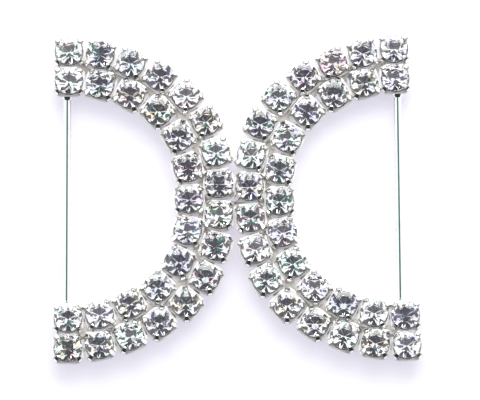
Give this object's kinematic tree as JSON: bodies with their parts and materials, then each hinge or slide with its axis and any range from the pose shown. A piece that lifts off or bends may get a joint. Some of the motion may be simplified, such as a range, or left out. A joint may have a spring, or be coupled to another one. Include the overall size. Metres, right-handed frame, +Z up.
{
  "type": "rhinestone buckle",
  "caption": "Hook-fastened buckle of mirror-twin D halves lying back to back, with rows of claw-set cut stones and a round strap bar at each outer side.",
  "frame": {"origin": "middle of the footprint, on the surface that the buckle lies on", "axes": "+X from the left half to the right half, +Y towards the upper arms of both halves, +Z up through the stones' tables"},
  "size_m": [0.0492, 0.0448, 0.0029],
  "materials": {
    "silver_plate": "bright silver plate",
    "crystal": "clear cut glass with a foiled back"
  },
  "bodies": {
    "root": {"left_setting": "silver_plate", "right_setting": "silver_plate", "left_outer_stones": "crystal", "left_inner_stones": "crystal", "right_outer_stones": "crystal", "right_inner_stones": "crystal"}
  },
  "joints": []
}
